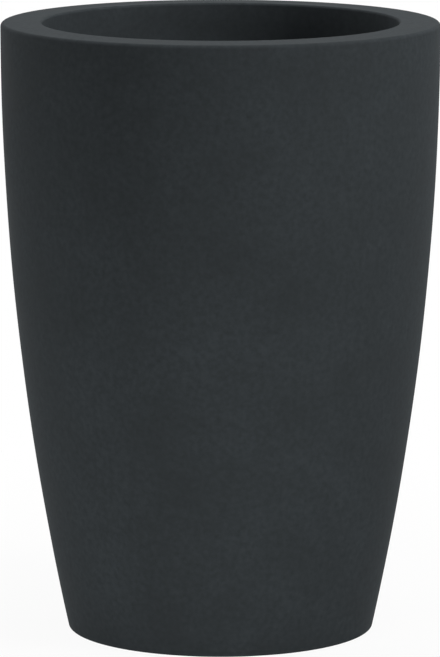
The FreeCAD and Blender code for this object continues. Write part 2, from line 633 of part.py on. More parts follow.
def make_gauge_float():
    """Float with broken edges and a blind hole for the indicator rod."""
    body = new_body("gauge_float", x="derived.gauge_x", y="derived.gauge_y", z="derived.reserve_floor_z")
    section = new_sketch(body, "float_section")
    seat = "dims.rod_diameter / 2 + dims.rod_clearance"
    draw_outline(section, [
        ("0", "0"),
        ("derived.float_radius - dims.small_edge", "0"),
        ("derived.float_radius", "dims.small_edge"),
        ("derived.float_radius", "dims.float_length - dims.small_edge"),
        ("derived.float_radius - dims.small_edge", "dims.float_length"),
        (seat, "dims.float_length"),
        (seat, "dims.float_length - dims.rod_seat"),
        ("0", "dims.float_length - dims.rod_seat"),
    ])
    add_feature(body, "Revolution", section, Angle=360)
    return body


def make_gauge_rod():
    """Indicator rod with a thick tip that shows through the gauge tube."""
    body = new_body("gauge_rod", x="derived.gauge_x", y="derived.gauge_y", z="derived.rod_z")
    section = new_sketch(body, "rod_section")
    rod, tip = "dims.rod_diameter / 2", "dims.tip_diameter / 2"
    neck = f"derived.rod_top - dims.tip_length - ({tip} - {rod})"
    draw_outline(section, [
        ("0", "0"),
        (rod, "0"),
        (rod, neck),
        (tip, "derived.rod_top - dims.tip_length"),
        (tip, "derived.rod_top - dims.small_edge", "dims.small_edge", LEFT),
        (f"{tip} - dims.small_edge", "derived.rod_top"),
        ("0", "derived.rod_top"),
    ])
    add_feature(body, "Revolution", section, Angle=360)
    return body


def write_pieces(pieces):
    """Check every feature and solid, then write one file per piece."""
    document.recompute()
    for item in document.Objects:
        if "Invalid" in item.State or "Error" in item.State:
            raise ValueError(f"{item.Name} failed: {item.State}")
    for piece in pieces:
        if piece.Shape.isNull() or not piece.Shape.isValid() or len(piece.Shape.Solids) != 1:
            raise ValueError(f"{piece.Label} is not one valid solid")
    os.makedirs("parts", exist_ok=True)
    for piece in pieces:
        piece.Shape.exportStep(f"parts/{piece.Label}.step")


write_pieces([
    make_planter_shell(),
    make_bung("drain_plug", "dims.drain_hole", "dims.shell_wall", z="derived.pot_floor_z"),
    make_planting_insert(),
    make_lift_handle("lift_handle_right", 0),
    make_lift_handle("lift_handle_left", 180),
    make_bung("reserve_plug", "dims.reserve_hole", "dims.insert_wall",
              y="derived.reserve_plug_y", z="derived.reserve_floor_z"),
    make_separator_floor(),
    make_wick_basket(),
    make_tube("filler_tube", "derived.filler_radius", "dims.filler_wall", "derived.filler_length",
              y="derived.filler_y"),
    make_filler_cap(),
    make_tube("gauge_tube", "derived.gauge_radius", "dims.gauge_wall", "derived.gauge_length",
              x="derived.gauge_x", y="derived.gauge_y"),
    make_gauge_float(),
    make_gauge_rod(),
    make_gauge_cap(),
])
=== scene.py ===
"""Looks of the tall round floor planter: moulded shell, lift-out insert, handles, water gauge and studio."""
import json
import math

import bmesh
import bpy
import mathutils
import numpy as np
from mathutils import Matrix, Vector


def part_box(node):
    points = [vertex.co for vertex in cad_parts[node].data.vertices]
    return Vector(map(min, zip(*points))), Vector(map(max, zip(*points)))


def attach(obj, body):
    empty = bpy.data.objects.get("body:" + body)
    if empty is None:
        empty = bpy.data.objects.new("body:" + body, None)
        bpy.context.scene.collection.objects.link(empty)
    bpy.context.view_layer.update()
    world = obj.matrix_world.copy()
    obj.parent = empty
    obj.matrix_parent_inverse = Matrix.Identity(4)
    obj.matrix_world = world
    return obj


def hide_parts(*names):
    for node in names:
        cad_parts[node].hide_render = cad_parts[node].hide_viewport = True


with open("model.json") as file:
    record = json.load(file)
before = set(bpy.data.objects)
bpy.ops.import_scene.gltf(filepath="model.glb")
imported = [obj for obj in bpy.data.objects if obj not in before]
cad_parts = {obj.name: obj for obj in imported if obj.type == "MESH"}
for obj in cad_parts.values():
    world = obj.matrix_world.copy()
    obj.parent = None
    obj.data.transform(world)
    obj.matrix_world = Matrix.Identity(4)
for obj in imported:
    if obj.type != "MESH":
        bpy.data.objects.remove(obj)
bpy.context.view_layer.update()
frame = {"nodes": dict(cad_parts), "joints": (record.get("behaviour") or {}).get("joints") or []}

bl_info = {
    "name": "Floor planter looks",
    "version": (1, 0, 0),
    "blender": (4, 5, 0),
    "location": "View3D > Sidebar > Planter",
    "description": "Surfaces and finishes of a tall floor planter with a lift-out planting insert",
    "category": "Add Mesh",
}

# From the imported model, in metres
SHELL_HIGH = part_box("planter_shell")[1]
ROD_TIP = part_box("gauge_rod")[1][2]
FLOAT_RISE = next(joint["range_m"][1] for joint in frame["joints"] if joint["name"] == "float_rise")

# Sizes and limits of the meshes
MM = 0.001
MERGED = 1e-7  # points nearer than this are one point
TINY = 1e-9  # stands for no length, and is the half size of a ring that has shrunk to a point
SHUT = 1.0  # inset that shrinks any ring to a point
SHELL_COLUMNS = 256
CAP_COLUMNS = 128
BUNG_COLUMNS = 96
FLAT_WEIGHT = 60  # over 50, so that large flat faces lead in the shading
RED_TIP = 12 * MM  # wide tip of the indicator rod

# Values that the materials share
WHITE = (1.0, 1.0, 1.0, 1.0)
NOISE_SPAN = {"From Min": 0.3, "From Max": 0.7}  # where most values of a noise lie

# Image in pixels, sensor in millimetres, end of the view in metres
IMAGE_SIZE = (440, 657)
HALF_PIXEL = 0.5
SENSOR_HEIGHT = 36.0
VIEW_END = 100.0

# Lamps: name, side and place in metres, the point aimed at, and the beam's spread in degrees
LAMPS = (
    ("key", 1.0, (2.7, -1.5, 2.2), (0.1, 0.0, 0.75), 40),
    ("top", 2.0, (0.3, 0.2, 2.6), (0.0, 0.0, 0.3), 180),
    ("fill", 0.6, (-1.2, -2.2, 0.4), (0.0, 0.0, 0.07), 28),
    ("side", 1.0, (-2.2, 0.9, 2.1), (0.05, 0.0, 0.62), 40),
)


def length(name, millimetres, description):
    """Size in metres, given in millimetres."""
    return bpy.props.FloatProperty(name=name, description=description, default=millimetres * MM,
                                   min=0.0, unit="LENGTH", precision=4)


def arc(name, degrees, description):
    """Angle in radians, given in degrees."""
    return bpy.props.FloatProperty(name=name, description=description, default=math.radians(degrees),
                                   subtype="ANGLE")


def number(name, value, description, unit="NONE"):
    """Plain number, or one with a unit of its own."""
    return bpy.props.FloatProperty(name=name, description=description, default=value, min=0.0, unit=unit)


def colour(name, code, description):
    """Colour as an sRGB hex value."""
    return bpy.props.StringProperty(name=name, description=description, default=code, maxlen=7)


class ShellSettings(bpy.types.PropertyGroup):
    """Section and colours of the moulded shell."""

    height: length("Height", SHELL_HIGH[2] / MM, "Floor to top of rim")
    top_radius: length("Top radius", SHELL_HIGH[0] / MM, "Outside of the rim")
    base_radius: length("Base radius", 140, "Outside of the wall at the floor")
    wall: length("Wall", 4.5, "Thickness of the moulded skin")
    rim_width: length("Rim width", 37.5, "Flat rim, outer wall to inner lip")
    upright_band: length("Upright band", 8, "Upright top of the wall, above its bow")
    rim_fall: length("Rim fall", 0.5, "How far the rim falls outwards, so that rain runs off it")
    outer_edge: length("Outer rim edge", 3.5, "Rounding of the rim's outer edge")
    inner_edge: length("Inner rim edge", 2.5, "Rounding of the rim's inner edge")
    base_edge: length("Base edge", 2.5, "Rounding of the base corner")
    lip_draft: length("Lip draft", 1, "How far the inner lip closes in down to the ledge")
    ledge_depth: length("Ledge depth", 60, "Rim down to the insert's ledge")
    ledge_width: length("Ledge width", 10, "Ledge that carries the insert")
    skirt: length("Skirt", 22, "Trimmed skirt below the ledge")
    foot_ring: length("Foot ring", 22, "Width of the ring that stands on the floor")
    foot_recess: length("Foot recess", 6, "Raised middle of the base")
    drain_radius: length("Drain radius", 11, "Hole in the middle of the base")
    sink: length("Sink", 0.25, "Deepest sink of the wall from cooling in the mould")
    tint: colour("Tint", "#2F3335", "Anthracite of the moulded polyethylene")
    bloom: colour("Bloom", "#383D40", "Paler powder bloom in the skin")


class InsertSettings(bpy.types.PropertyGroup):
    """Colours of the planting insert and of what stands in it."""

    tint: colour("Tint", "#17191A", "Black of the insert and the filler tube")
    bloom: colour("Bloom", "#212425", "Paler flow marks in the black")
    plate_tint: colour("Plate tint", "#4A4D4E", "Grey of the separator and the basket")
    plate_bloom: colour("Plate bloom", "#555859", "Paler flow marks in the grey")


class HandleSettings(bpy.types.PropertyGroup):
    """Sizes and colours of the lift handles."""

    leg_radius: length("Leg radius", 147.5, "Middle of the legs, from the planter's axis")
    span: arc("Span", 48.0, "Angle that a handle covers")
    leg_span: arc("Leg span", 7.5, "Angle that a leg covers")
    stop_span: arc("Stop span", 1.4, "Angle that a stop stands out beside its leg")
    leg_thickness: length("Leg thickness", 4, "Radial thickness of a leg")
    stop_height: length("Stop height", 6, "Stop at the foot of a leg")
    grip_width: length("Grip width", 11, "Radial width of the grip")
    grip_height: length("Grip height", 8, "Height of the grip")
    soft_edge: length("Soft edge", 2.4, "Rounding of the grip")
    rib_pitch: length("Rib pitch", 5, "From one rib of the grip to the next")
    rib_depth: length("Rib depth", 0.7, "Depth between the grip's ribs")
    tint: colour("Tint", "#6B7073", "Slate grey of the handles")
    bloom: colour("Bloom", "#767B7E", "Paler flow marks in the slate grey")


class CapSettings(bpy.types.PropertyGroup):
    """Sizes and colours of the filler cap."""

    thickness: length("Thickness", 3, "Flat top")
    fin_height: length("Fin height", 9, "Finger grip")
    fin_thickness: length("Fin thickness", 4, "Finger grip")
    spigot_radius: length("Spigot radius", 17.6, "Spigot in the filler tube")
    spigot_wall: length("Spigot wall", 1.8, "Wall of the spigot")
    tint: colour("Tint", "#6B7073", "Slate grey of the cap")
    bloom: colour("Bloom", "#767B7E", "Paler flow marks in the slate grey")


class BungSettings(bpy.types.PropertyGroup):
    """Sizes and colours of the rubber bungs."""

    flange: length("Flange", 6.15, "Head beyond the stem")
    head: length("Head", 4, "Thickness of the head")
    fin_height: length("Fin height", 9, "Finger grip")
    fin_thickness: length("Fin thickness", 4, "Finger grip")
    tint: colour("Tint", "#151515", "Black of the rubber")
    dust: colour("Dust", "#2B2A29", "Dust in the rubber's skin")


class GaugeSettings(bpy.types.PropertyGroup):
    """Marks and colours of the water gauge."""

    low_mark: length("Low mark", ROD_TIP / MM, "Ring that the indicator's tip reaches when empty")
    high_mark: length("High mark", (ROD_TIP + FLOAT_RISE - RED_TIP) / MM,
                      "Ring that the tip stands above when full")
    mark_height: length("Mark height", 1.4, "Height of a ring")
    mark_tint: colour("Mark tint", "#B4231C", "Red ink of the rings")
    tube_tint: colour("Tube tint", "#E4EEF0", "Faint blue of the clear tube and its cap")
    tube_line: colour("Tube line", "#F7FBFB", "Draw lines in the clear plastic")
    foam_joint: colour("Foam joint", "#CFCFCB", "Joints between the float's cells")
    foam_tint: colour("Foam tint", "#EEEEEA", "White of the float's cells")
    rod_tint: colour("Rod tint", "#A81E1A", "Red of the indicator rod")
    rod_bloom: colour("Rod bloom", "#B92A22", "Paler flow marks in the red")


class StageSettings(bpy.types.PropertyGroup):
    """Floor, lamps and camera."""

    floor_tint: colour("Floor", "#F4F4F2", "Pale studio floor")
    floor_white: number("Floor white", 0.94, "Share of plain white that the eye sees near the planter")
    fade_start: length("Fade start", 200, "Distance at which the floor starts to fade to white")
    fade_end: length("Fade end", 900, "Distance at which the floor is white to the eye")
    camera_distance: length("Camera distance", 4848, "Camera in front of the planter's axis")
    camera_height: length("Camera height", 1073.2, "Camera above the floor")
    camera_tilt: arc("Camera tilt", 9.29, "Camera looks down by this angle")
    focal_pixels: number("Focal length", 5356.0, "Focal length in pixels of the image")
    axis_pixel: number("Axis column", 220.5, "Column of the image on the planter's axis")
    aim_pixel: number("Aim row", 324.4, "Row of the image on the camera's axis")
    key_power: number("Key", 4.8, "Soft lamp, upper right", "POWER")
    top_power: number("Top", 24.0, "Soft lamp overhead", "POWER")
    fill_power: number("Fill", 0.65, "Soft lamp, low in front", "POWER")
    side_power: number("Side", 1.0, "Soft lamp, upper left", "POWER")
    world_level: number("World", 0.23, "Even light from all round")


class PlanterSettings(bpy.types.PropertyGroup):
    """All settings of the planter."""

    shell: bpy.props.PointerProperty(type=ShellSettings)
    insert: bpy.props.PointerProperty(type=InsertSettings)
    handle: bpy.props.PointerProperty(type=HandleSettings)
    cap: bpy.props.PointerProperty(type=CapSettings)
    bung: bpy.props.PointerProperty(type=BungSettings)
    gauge: bpy.props.PointerProperty(type=GaugeSettings)
    stage: bpy.props.PointerProperty(type=StageSettings)


def linear(code):
    """Linear RGBA of an sRGB hex value: v/12.92 below 0.04045, else ((v + 0.055)/1.055)^2.4."""
    values = np.array([int(code[place:place + 2], 16) for place in (1, 3, 5)]) / 255
    lin = np.where(values <= 0.04045, values / 12.92, ((values + 0.055) / 1.055) ** 2.4)
    return (*lin.tolist(), 1.0)


def add_node(tree, kind, inputs=(), **settings):
    """Node of a kind with its settings; each input gets a value, or a link from another node's output."""
    node = tree.nodes.new(kind)
    for name, value in settings.items():
        setattr(node, name, value)
    for socket, value in dict(inputs).items():
        if isinstance(value, bpy.types.NodeSocket):
            tree.links.new(value, node.inputs[socket])
        else:
            node.inputs[socket].default_value = value
    return node


def new_material(name):
    """Empty node material, its tree, and the object's own coordinates in metres."""
    material = bpy.data.materials.new(name)
    material.use_nodes = True
    material.node_tree.nodes.clear()
    place = add_node(material.node_tree, "ShaderNodeTexCoord").outputs["Object"]
    return material, material.node_tree, place


def rotomoulded_polyethylene(shell):
    """Anthracite polyethylene, powder melted against a blasted mould.

    It gives the eye a satin-matte skin, faintly clouded where the powder melted unevenly, with fine pits from
    the mould. The pits are 0.3 mm on the real skin and are drawn 1.4 mm wide so that they show.
    """
    material, tree, place = new_material("rotomoulded_anthracite_polyethylene")
    cloud = add_node(tree, "ShaderNodeTexNoise",
                     {"Vector": place, "Scale": 1 / (70 * MM), "Detail": 4.0, "Roughness": 0.6})
    powder = add_node(tree, "ShaderNodeTexNoise",
                      {"Vector": place, "Scale": 1 / (5 * MM), "Detail": 2.0, "Roughness": 0.55})
    mottle = add_node(tree, "ShaderNodeMath", {0: cloud.outputs["Fac"], 1: powder.outputs["Fac"]},
                      operation="MULTIPLY")
    share = add_node(tree, "ShaderNodeMapRange",
                     {"Value": mottle.outputs[0], "From Min": 0.1, "From Max": 0.45})
    skin = add_node(tree, "ShaderNodeMix",
                    {"Factor": share.outputs[0], "A": linear(shell.tint), "B": linear(shell.bloom)},
                    data_type="RGBA")
    sheen = add_node(tree, "ShaderNodeMapRange",
                     {**NOISE_SPAN, "Value": cloud.outputs["Fac"], "To Min": 0.74, "To Max": 0.84})
    pits = add_node(tree, "ShaderNodeTexNoise", {"Vector": place, "Scale": 1 / (1.4 * MM), "Detail": 2.0})
    swell = add_node(tree, "ShaderNodeTexNoise", {"Vector": place, "Scale": 1 / (16 * MM), "Detail": 1.0})
    swell_bump = add_node(tree, "ShaderNodeBump",
                          {"Height": swell.outputs["Fac"], "Strength": 0.35, "Distance": 0.25 * MM})
    bump = add_node(tree, "ShaderNodeBump",
                    {"Height": pits.outputs["Fac"], "Normal": swell_bump.outputs[0], "Strength": 0.35,
                     "Distance": 0.12 * MM})
    shader = add_node(tree, "ShaderNodeBsdfPrincipled",
                      {"Base Color": skin.outputs["Result"], "Roughness": sheen.outputs[0],
                       "Normal": bump.outputs[0], "IOR": 1.51, "Specular IOR Level": 0.06})
    add_node(tree, "ShaderNodeOutputMaterial", {"Surface": shader.outputs[0]})
    return material


def moulded_plastic(name, tint, bloom, roughness=0.45):
    """Injection-moulded polypropylene or ABS from a spark-eroded mould.

    It gives the eye an even leathery grain with a soft gloss, and slight flow marks. The grain is 0.2 mm on
    the real part and is drawn 0.9 mm wide so that it shows.
    """
    material, tree, place = new_material(name)
    flow = add_node(tree, "ShaderNodeTexNoise",
                    {"Vector": place, "Scale": 1 / (45 * MM), "Detail": 3.0, "Distortion": 0.8})
    share = add_node(tree, "ShaderNodeMapRange", {**NOISE_SPAN, "Value": flow.outputs["Fac"]})
    skin = add_node(tree, "ShaderNodeMix",
                    {"Factor": share.outputs[0], "A": linear(tint), "B": linear(bloom)}, data_type="RGBA")
    sheen = add_node(tree, "ShaderNodeMapRange",
                     {**NOISE_SPAN, "Value": flow.outputs["Fac"], "To Min": roughness - 0.04,
                      "To Max": roughness + 0.06})
    grain = add_node(tree, "ShaderNodeTexVoronoi", {"Vector": place, "Scale": 1 / (0.9 * MM)})
    bump = add_node(tree, "ShaderNodeBump",
                    {"Height": grain.outputs["Distance"], "Strength": 0.2, "Distance": 0.08 * MM})
    shader = add_node(tree, "ShaderNodeBsdfPrincipled",
                      {"Base Color": skin.outputs["Result"], "Roughness": sheen.outputs[0],
                       "Normal": bump.outputs[0], "IOR": 1.49})
    add_node(tree, "ShaderNodeOutputMaterial", {"Surface": shader.outputs[0]})
    return material


def pressed_rubber(bung):
    """Black pressed rubber: dull, faintly dusty, with a fine uneven skin.

    The skin's grit is 0.1 mm on the real part and is drawn 0.7 mm wide so that it shows.
    """
    material, tree, place = new_material("pressed_black_rubber")
    dust = add_node(tree, "ShaderNodeTexNoise", {"Vector": place, "Scale": 1 / (6 * MM), "Detail": 5.0})
    skin = add_node(tree, "ShaderNodeMix",
                    {"Factor": dust.outputs["Fac"], "A": linear(bung.tint), "B": linear(bung.dust)},
                    data_type="RGBA")
    dulness = add_node(tree, "ShaderNodeMapRange",
                       {**NOISE_SPAN, "Value": dust.outputs["Fac"], "To Min": 0.7, "To Max": 0.85})
    grit = add_node(tree, "ShaderNodeTexNoise", {"Vector": place, "Scale": 1 / (0.7 * MM), "Detail": 2.0})
    bump = add_node(tree, "ShaderNodeBump",
                    {"Height": grit.outputs["Fac"], "Strength": 0.3, "Distance": 0.06 * MM})
    shader = add_node(tree, "ShaderNodeBsdfPrincipled",
                      {"Base Color": skin.outputs["Result"], "Roughness": dulness.outputs[0],
                       "Normal": bump.outputs[0], "IOR": 1.52})
    add_node(tree, "ShaderNodeOutputMaterial", {"Surface": shader.outputs[0]})
    return material


def extruded_clear_plastic(gauge):
    """Clear extruded polycarbonate: see-through, faintly blue, with draw lines along the tube.

    Two rings of clear red ink are printed round it, where the height is within half a ring's height of a
    mark.
    """
    material, tree, place = new_material("extruded_clear_polycarbonate")
    along = add_node(tree, "ShaderNodeMapping", {"Vector": place, "Scale": (1.0, 1.0, 0.02)})
    lines = add_node(tree, "ShaderNodeTexNoise",
                     {"Vector": along.outputs[0], "Scale": 1 / (1.5 * MM), "Detail": 2.0})
    haze = add_node(tree, "ShaderNodeMapRange",
                    {**NOISE_SPAN, "Value": lines.outputs["Fac"], "To Min": 0.04, "To Max": 0.16})
    skin = add_node(tree, "ShaderNodeMix",
                    {"Factor": lines.outputs["Fac"], "A": linear(gauge.tube_tint),
                     "B": linear(gauge.tube_line)}, data_type="RGBA")
    level = add_node(tree, "ShaderNodeSeparateXYZ", {0: place}).outputs["Z"]
    low, high = (add_node(tree, "ShaderNodeMath", {0: level, 1: mark, 2: gauge.mark_height / 2},
                          operation="COMPARE") for mark in (gauge.low_mark, gauge.high_mark))
    ringed = add_node(tree, "ShaderNodeMath", {0: low.outputs[0], 1: high.outputs[0]}, operation="MAXIMUM")
    inked = add_node(tree, "ShaderNodeMix",
                     {"Factor": ringed.outputs[0], "A": skin.outputs["Result"], "B": linear(gauge.mark_tint)},
                     data_type="RGBA")
    shader = add_node(tree, "ShaderNodeBsdfPrincipled",
                      {"Base Color": inked.outputs["Result"], "Roughness": haze.outputs[0], "IOR": 1.58,
                       "Transmission Weight": 1.0})
    add_node(tree, "ShaderNodeOutputMaterial", {"Surface": shader.outputs[0]})
    return material


def foamed_polystyrene(gauge):
    """White foamed polystyrene: closed cells 2 mm across with soft grey joints between them."""
    material, tree, place = new_material("foamed_white_polystyrene")
    cells = add_node(tree, "ShaderNodeTexVoronoi", {"Vector": place, "Scale": 1 / (2 * MM)},
                     feature="DISTANCE_TO_EDGE")
    joint = add_node(tree, "ShaderNodeMapRange", {"Value": cells.outputs["Distance"], "From Max": 0.15})
    skin = add_node(tree, "ShaderNodeMix",
                    {"Factor": joint.outputs[0], "A": linear(gauge.foam_joint), "B": linear(gauge.foam_tint)},
                    data_type="RGBA")
    bump = add_node(tree, "ShaderNodeBump",
                    {"Height": joint.outputs[0], "Strength": 0.5, "Distance": 0.2 * MM})
    shader = add_node(tree, "ShaderNodeBsdfPrincipled",
                      {"Base Color": skin.outputs["Result"], "Roughness": 0.7, "Normal": bump.outputs[0]})
    add_node(tree, "ShaderNodeOutputMaterial", {"Surface": shader.outputs[0]})
    return material


def seen_directly(tree):
    """1 for a ray from the camera, a mirror or through a clear piece, else 0."""
    path = add_node(tree, "ShaderNodeLightPath")
    mirrored = add_node(tree, "ShaderNodeMath",
                        {0: path.outputs["Is Camera Ray"], 1: path.outputs["Is Glossy Ray"]},
                        operation="MAXIMUM")
    through = add_node(tree, "ShaderNodeMath",
                       {0: mirrored.outputs[0], 1: path.outputs["Is Transmission Ray"]}, operation="MAXIMUM")
    return through.outputs[0]


def floor_paint(stage):
    """Pale matt floor: to the eye it fades to white away from the planter, and from below it is clear."""
    material, tree, place = new_material("matt_studio_floor")
    far = add_node(tree, "ShaderNodeVectorMath", {0: place}, operation="LENGTH")
    fade = add_node(tree, "ShaderNodeMapRange",
                    {"Value": far.outputs["Value"], "From Min": stage.fade_start, "From Max": stage.fade_end,
                     "To Min": stage.floor_white}, interpolation_type="SMOOTHSTEP")
    share = add_node(tree, "ShaderNodeMath", {0: fade.outputs[0], 1: seen_directly(tree)},
                     operation="MULTIPLY")
    matt = add_node(tree, "ShaderNodeBsdfDiffuse", {"Color": linear(stage.floor_tint)})
    white = add_node(tree, "ShaderNodeEmission", {"Color": WHITE, "Strength": 1.0})
    top = add_node(tree, "ShaderNodeMixShader",
                   {0: share.outputs[0], 1: matt.outputs[0], 2: white.outputs[0]})
    under = add_node(tree, "ShaderNodeNewGeometry").outputs["Backfacing"]
    clear = add_node(tree, "ShaderNodeBsdfTransparent")
    mix = add_node(tree, "ShaderNodeMixShader", {0: under, 1: top.outputs[0], 2: clear.outputs[0]})
    add_node(tree, "ShaderNodeOutputMaterial", {"Surface": mix.outputs[0]})
    return material


def finish_node(node, material):
    """Give a CAD node its finish."""
    piece = frame["nodes"][node]
    piece.data.materials.clear()
    piece.data.materials.append(material)


def grid_faces(rows, columns, first=0, loop=False):
    """Quads of a grid that closes on itself along its columns, and along its rows where it is a loop."""
    index = first + np.arange(rows * columns).reshape(rows, columns)
    below = index if loop else index[:-1]
    above = np.roll(index, -1, axis=0) if loop else index[1:]
    quads = [below, np.roll(below, -1, axis=1), np.roll(above, -1, axis=1), above]
    return np.stack(quads, axis=-1).reshape(-1, 4)


def close_poles(mesh):
    """Merge the points of a grid row that has shrunk to one place, so that its quads become triangles."""
    shape = bmesh.new()
    shape.from_mesh(mesh)
    bmesh.ops.remove_doubles(shape, verts=shape.verts, dist=MERGED)
    shape.to_mesh(mesh)
    shape.free()


def new_piece(name, grids, material, body, node, loop=False):
    """Mesh piece from grids of points, closed at its poles, on a body in place of a CAD node."""
    points, faces, first = [], [], 0
    for grid in grids:
        points.append(grid.reshape(-1, 3))
        faces.append(grid_faces(*grid.shape[:2], first=first, loop=loop))
        first += grid.shape[0] * grid.shape[1]
    mesh = bpy.data.meshes.new(name)
    mesh.from_pydata(np.concatenate(points).tolist(), [], np.concatenate(faces).tolist())
    close_poles(mesh)
    mesh.shade_smooth()
    mesh.materials.append(material)
    piece = bpy.data.objects.new(name, mesh)
    bpy.context.scene.collection.objects.link(piece)
    weighting = piece.modifiers.new("flat_faces_stay_flat", "WEIGHTED_NORMAL")
    weighting.weight = FLAT_WEIGHT
    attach(piece, body)
    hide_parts(node)


def rounded(corners, steps=6):
    """Line through corners (r, z, edge), each corner turned into an arc.

    An arc of radius `edge` touches both sides of its corner. With h the half angle between the sides, it
    starts and ends edge / tan(h) from the corner, and its centre lies edge / sin(h) along the bisector.
    """
    corners = np.asarray(corners, dtype=float)
    point, edge = corners[:, :2], corners[:, 2]
    back = np.roll(point, 1, axis=0) - point
    ahead = np.roll(point, -1, axis=0) - point
    back /= np.linalg.norm(back, axis=1, keepdims=True)
    ahead /= np.linalg.norm(ahead, axis=1, keepdims=True)
    half = np.arccos(np.clip((back * ahead).sum(axis=1), -1.0, 1.0)) / 2
    bisector = back + ahead
    bisector /= np.maximum(np.linalg.norm(bisector, axis=1, keepdims=True), TINY)
    centre = point + bisector * (edge / np.sin(half))[:, None]
    start = point + back * (edge / np.tan(half))[:, None] - centre
    end = point + ahead * (edge / np.tan(half))[:, None] - centre
    first = np.arctan2(start[:, 1], start[:, 0])
    sweep = np.arctan2(start[:, 0] * end[:, 1] - start[:, 1] * end[:, 0], (start * end).sum(axis=1))
    angle = first[:, None] + sweep[:, None] * np.linspace(0.0, 1.0, steps + 1)
    arcs = centre[:, None] + edge[:, None, None] * np.stack([np.cos(angle), np.sin(angle)], axis=-1)
    line = arcs.reshape(-1, 2)
    moved = np.linalg.norm(np.diff(line, axis=0), axis=1) > MERGED
    return line[np.append(True, moved)]


def spun(line, columns, centre=(0.0, 0.0)):
    """Surface of revolution: a point (r, z) of the line goes to (r cos a, r sin a, z) about a centre."""
    angle = np.linspace(0.0, 2 * np.pi, columns, endpoint=False)
    r, z = line[:, :1], line[:, 1:]
    x = centre[0] + r * np.cos(angle)
    y = centre[1] + r * np.sin(angle)
    return np.stack([x, y, np.broadcast_to(z, x.shape)], axis=-1)


def bow_reach(shell, level, inset=0.0):
    """Radius of the bowed wall at a level, taken so far in from its outside.

    The bow is an arc through the base corner that is upright at the upright band. With w and h the width and
    height that it covers, its radius is (h^2 + w^2) / 2w.
    """
    height = shell.height - shell.upright_band
    width = shell.top_radius - shell.base_radius
    bow = (height**2 + width**2) / (2 * width)
    return shell.top_radius - bow + np.sqrt((bow - inset) ** 2 - (height - level) ** 2)


def shell_line(shell):
    """Closed section of the shell: along the foot, up the bowed outside, over the rim and down the inside.

    Each corner is a point (r, z, edge). The bowed wall is a row of points with no rounding of their own,
    which keeps clear of the roundings at the base and at the upright band. The foot's recess has a sloping
    side, and the floor above it lies one wall further in, measured square to the slope.
    """
    top, radius, wall = shell.height, shell.top_radius, shell.wall
    trim, lip_corner, ledge_edge, bend, wide_bend, heel = (size * MM for size in (0.6, 0.5, 1.2, 2, 3, 4))
    bow_start, bow_end, bow_rows = 12 * MM, top - shell.upright_band - 2 * MM, 72
    level = np.linspace(bow_start, bow_end, bow_rows)
    outside = np.stack([bow_reach(shell, level), level, np.zeros_like(level)], axis=-1)
    inside = np.stack([bow_reach(shell, level, wall), level, np.zeros_like(level)], axis=-1)[::-1]
    recess = shell.base_radius - shell.foot_ring
    slope = math.radians(45)
    recess_top = recess - shell.foot_recess / math.tan(slope)
    mitre = wall * math.tan(slope / 2)
    mouth = radius - shell.rim_width
    lip = mouth - shell.lip_draft
    ledge = top - shell.ledge_depth
    ledge_radius = lip - shell.ledge_width
    foot = [(shell.drain_radius, shell.foot_recess, trim), (recess_top, shell.foot_recess, wide_bend),
            (recess, 0.0, bend), (shell.base_radius, 0.0, shell.base_edge)]
    rim = [(radius, top - shell.rim_fall, shell.outer_edge), (mouth, top, shell.inner_edge),
           (lip, ledge, lip_corner), (ledge_radius, ledge, ledge_edge),
           (ledge_radius, ledge - shell.skirt, trim), (ledge_radius + wall, ledge - shell.skirt, trim),
           (ledge_radius + wall, ledge - wall, bend), (lip + wall, ledge - wall, wide_bend),
           (mouth + wall, top - wall, bend), (radius - wall, top - shell.rim_fall - wall, bend)]
    floor = [(bow_reach(shell, wall, wall), wall, heel), (recess + mitre, wall, bend),
             (recess_top + mitre, shell.foot_recess + wall, wide_bend),
             (shell.drain_radius, shell.foot_recess + wall, trim)]
    return rounded(np.concatenate([foot, outside, rim, inside, floor]), steps=8)


def sunk(grid, shell):
    """Shell whose outside sinks a little where the plastic cooled unevenly.

    The sink is a share of its greatest depth, half of 1 + sin(3a + 9z) sin(2a - 14z + 1) with a the angle and
    z the height over the pot's height, and it fades out towards the base corner and the rim.
    """
    fade_height, sink_top = 0.15, 0.96
    angle = np.arctan2(grid[..., 1], grid[..., 0])
    level = grid[..., 2] / shell.height
    reach = np.hypot(grid[..., 0], grid[..., 1])
    share = 0.5 + 0.5 * np.sin(3 * angle + 9 * level) * np.sin(2 * angle - 14 * level + 1)
    fade = np.clip(level / fade_height, 0, 1) * np.clip((sink_top - level) / fade_height, 0, 1)
    outside = np.arange(len(grid))[:, None] < np.argmax(grid[:, 0, 2])
    factor = 1 - shell.sink * share * fade * outside / reach
    return np.stack([grid[..., 0] * factor, grid[..., 1] * factor, grid[..., 2]], axis=-1)


def quarter_turn(steps=6):
    """Angles of a quarter turn, for a rounded edge."""
    return np.linspace(0.0, np.pi / 2, steps + 1)


def rounded_rings(half_u, half_v, inset, corner):
    """Rings of a rectangle with rounded corners, one for each inset of its sides.

    A corner's points lie at half size less corner, plus corner times (cos a, sin a), in its own quarter. The
    corner is at most a little less than the smaller half size, so that the sides keep a length.
    """
    largest_corner = 0.98
    quarter = quarter_turn()
    turn = np.concatenate([quarter + count * np.pi / 2 for count in range(4)])
    side_u = np.repeat([1, -1, -1, 1], len(quarter))
    side_v = np.repeat([1, 1, -1, -1], len(quarter))
    half_u = np.maximum(half_u - inset, TINY)[:, None]
    half_v = np.maximum(half_v - inset, TINY)[:, None]
    corner = np.minimum(corner, largest_corner * np.minimum(half_u, half_v))
    u = side_u * (half_u - corner) + corner * np.cos(turn)
    v = side_v * (half_v - corner) + corner * np.sin(turn)
    return u, v


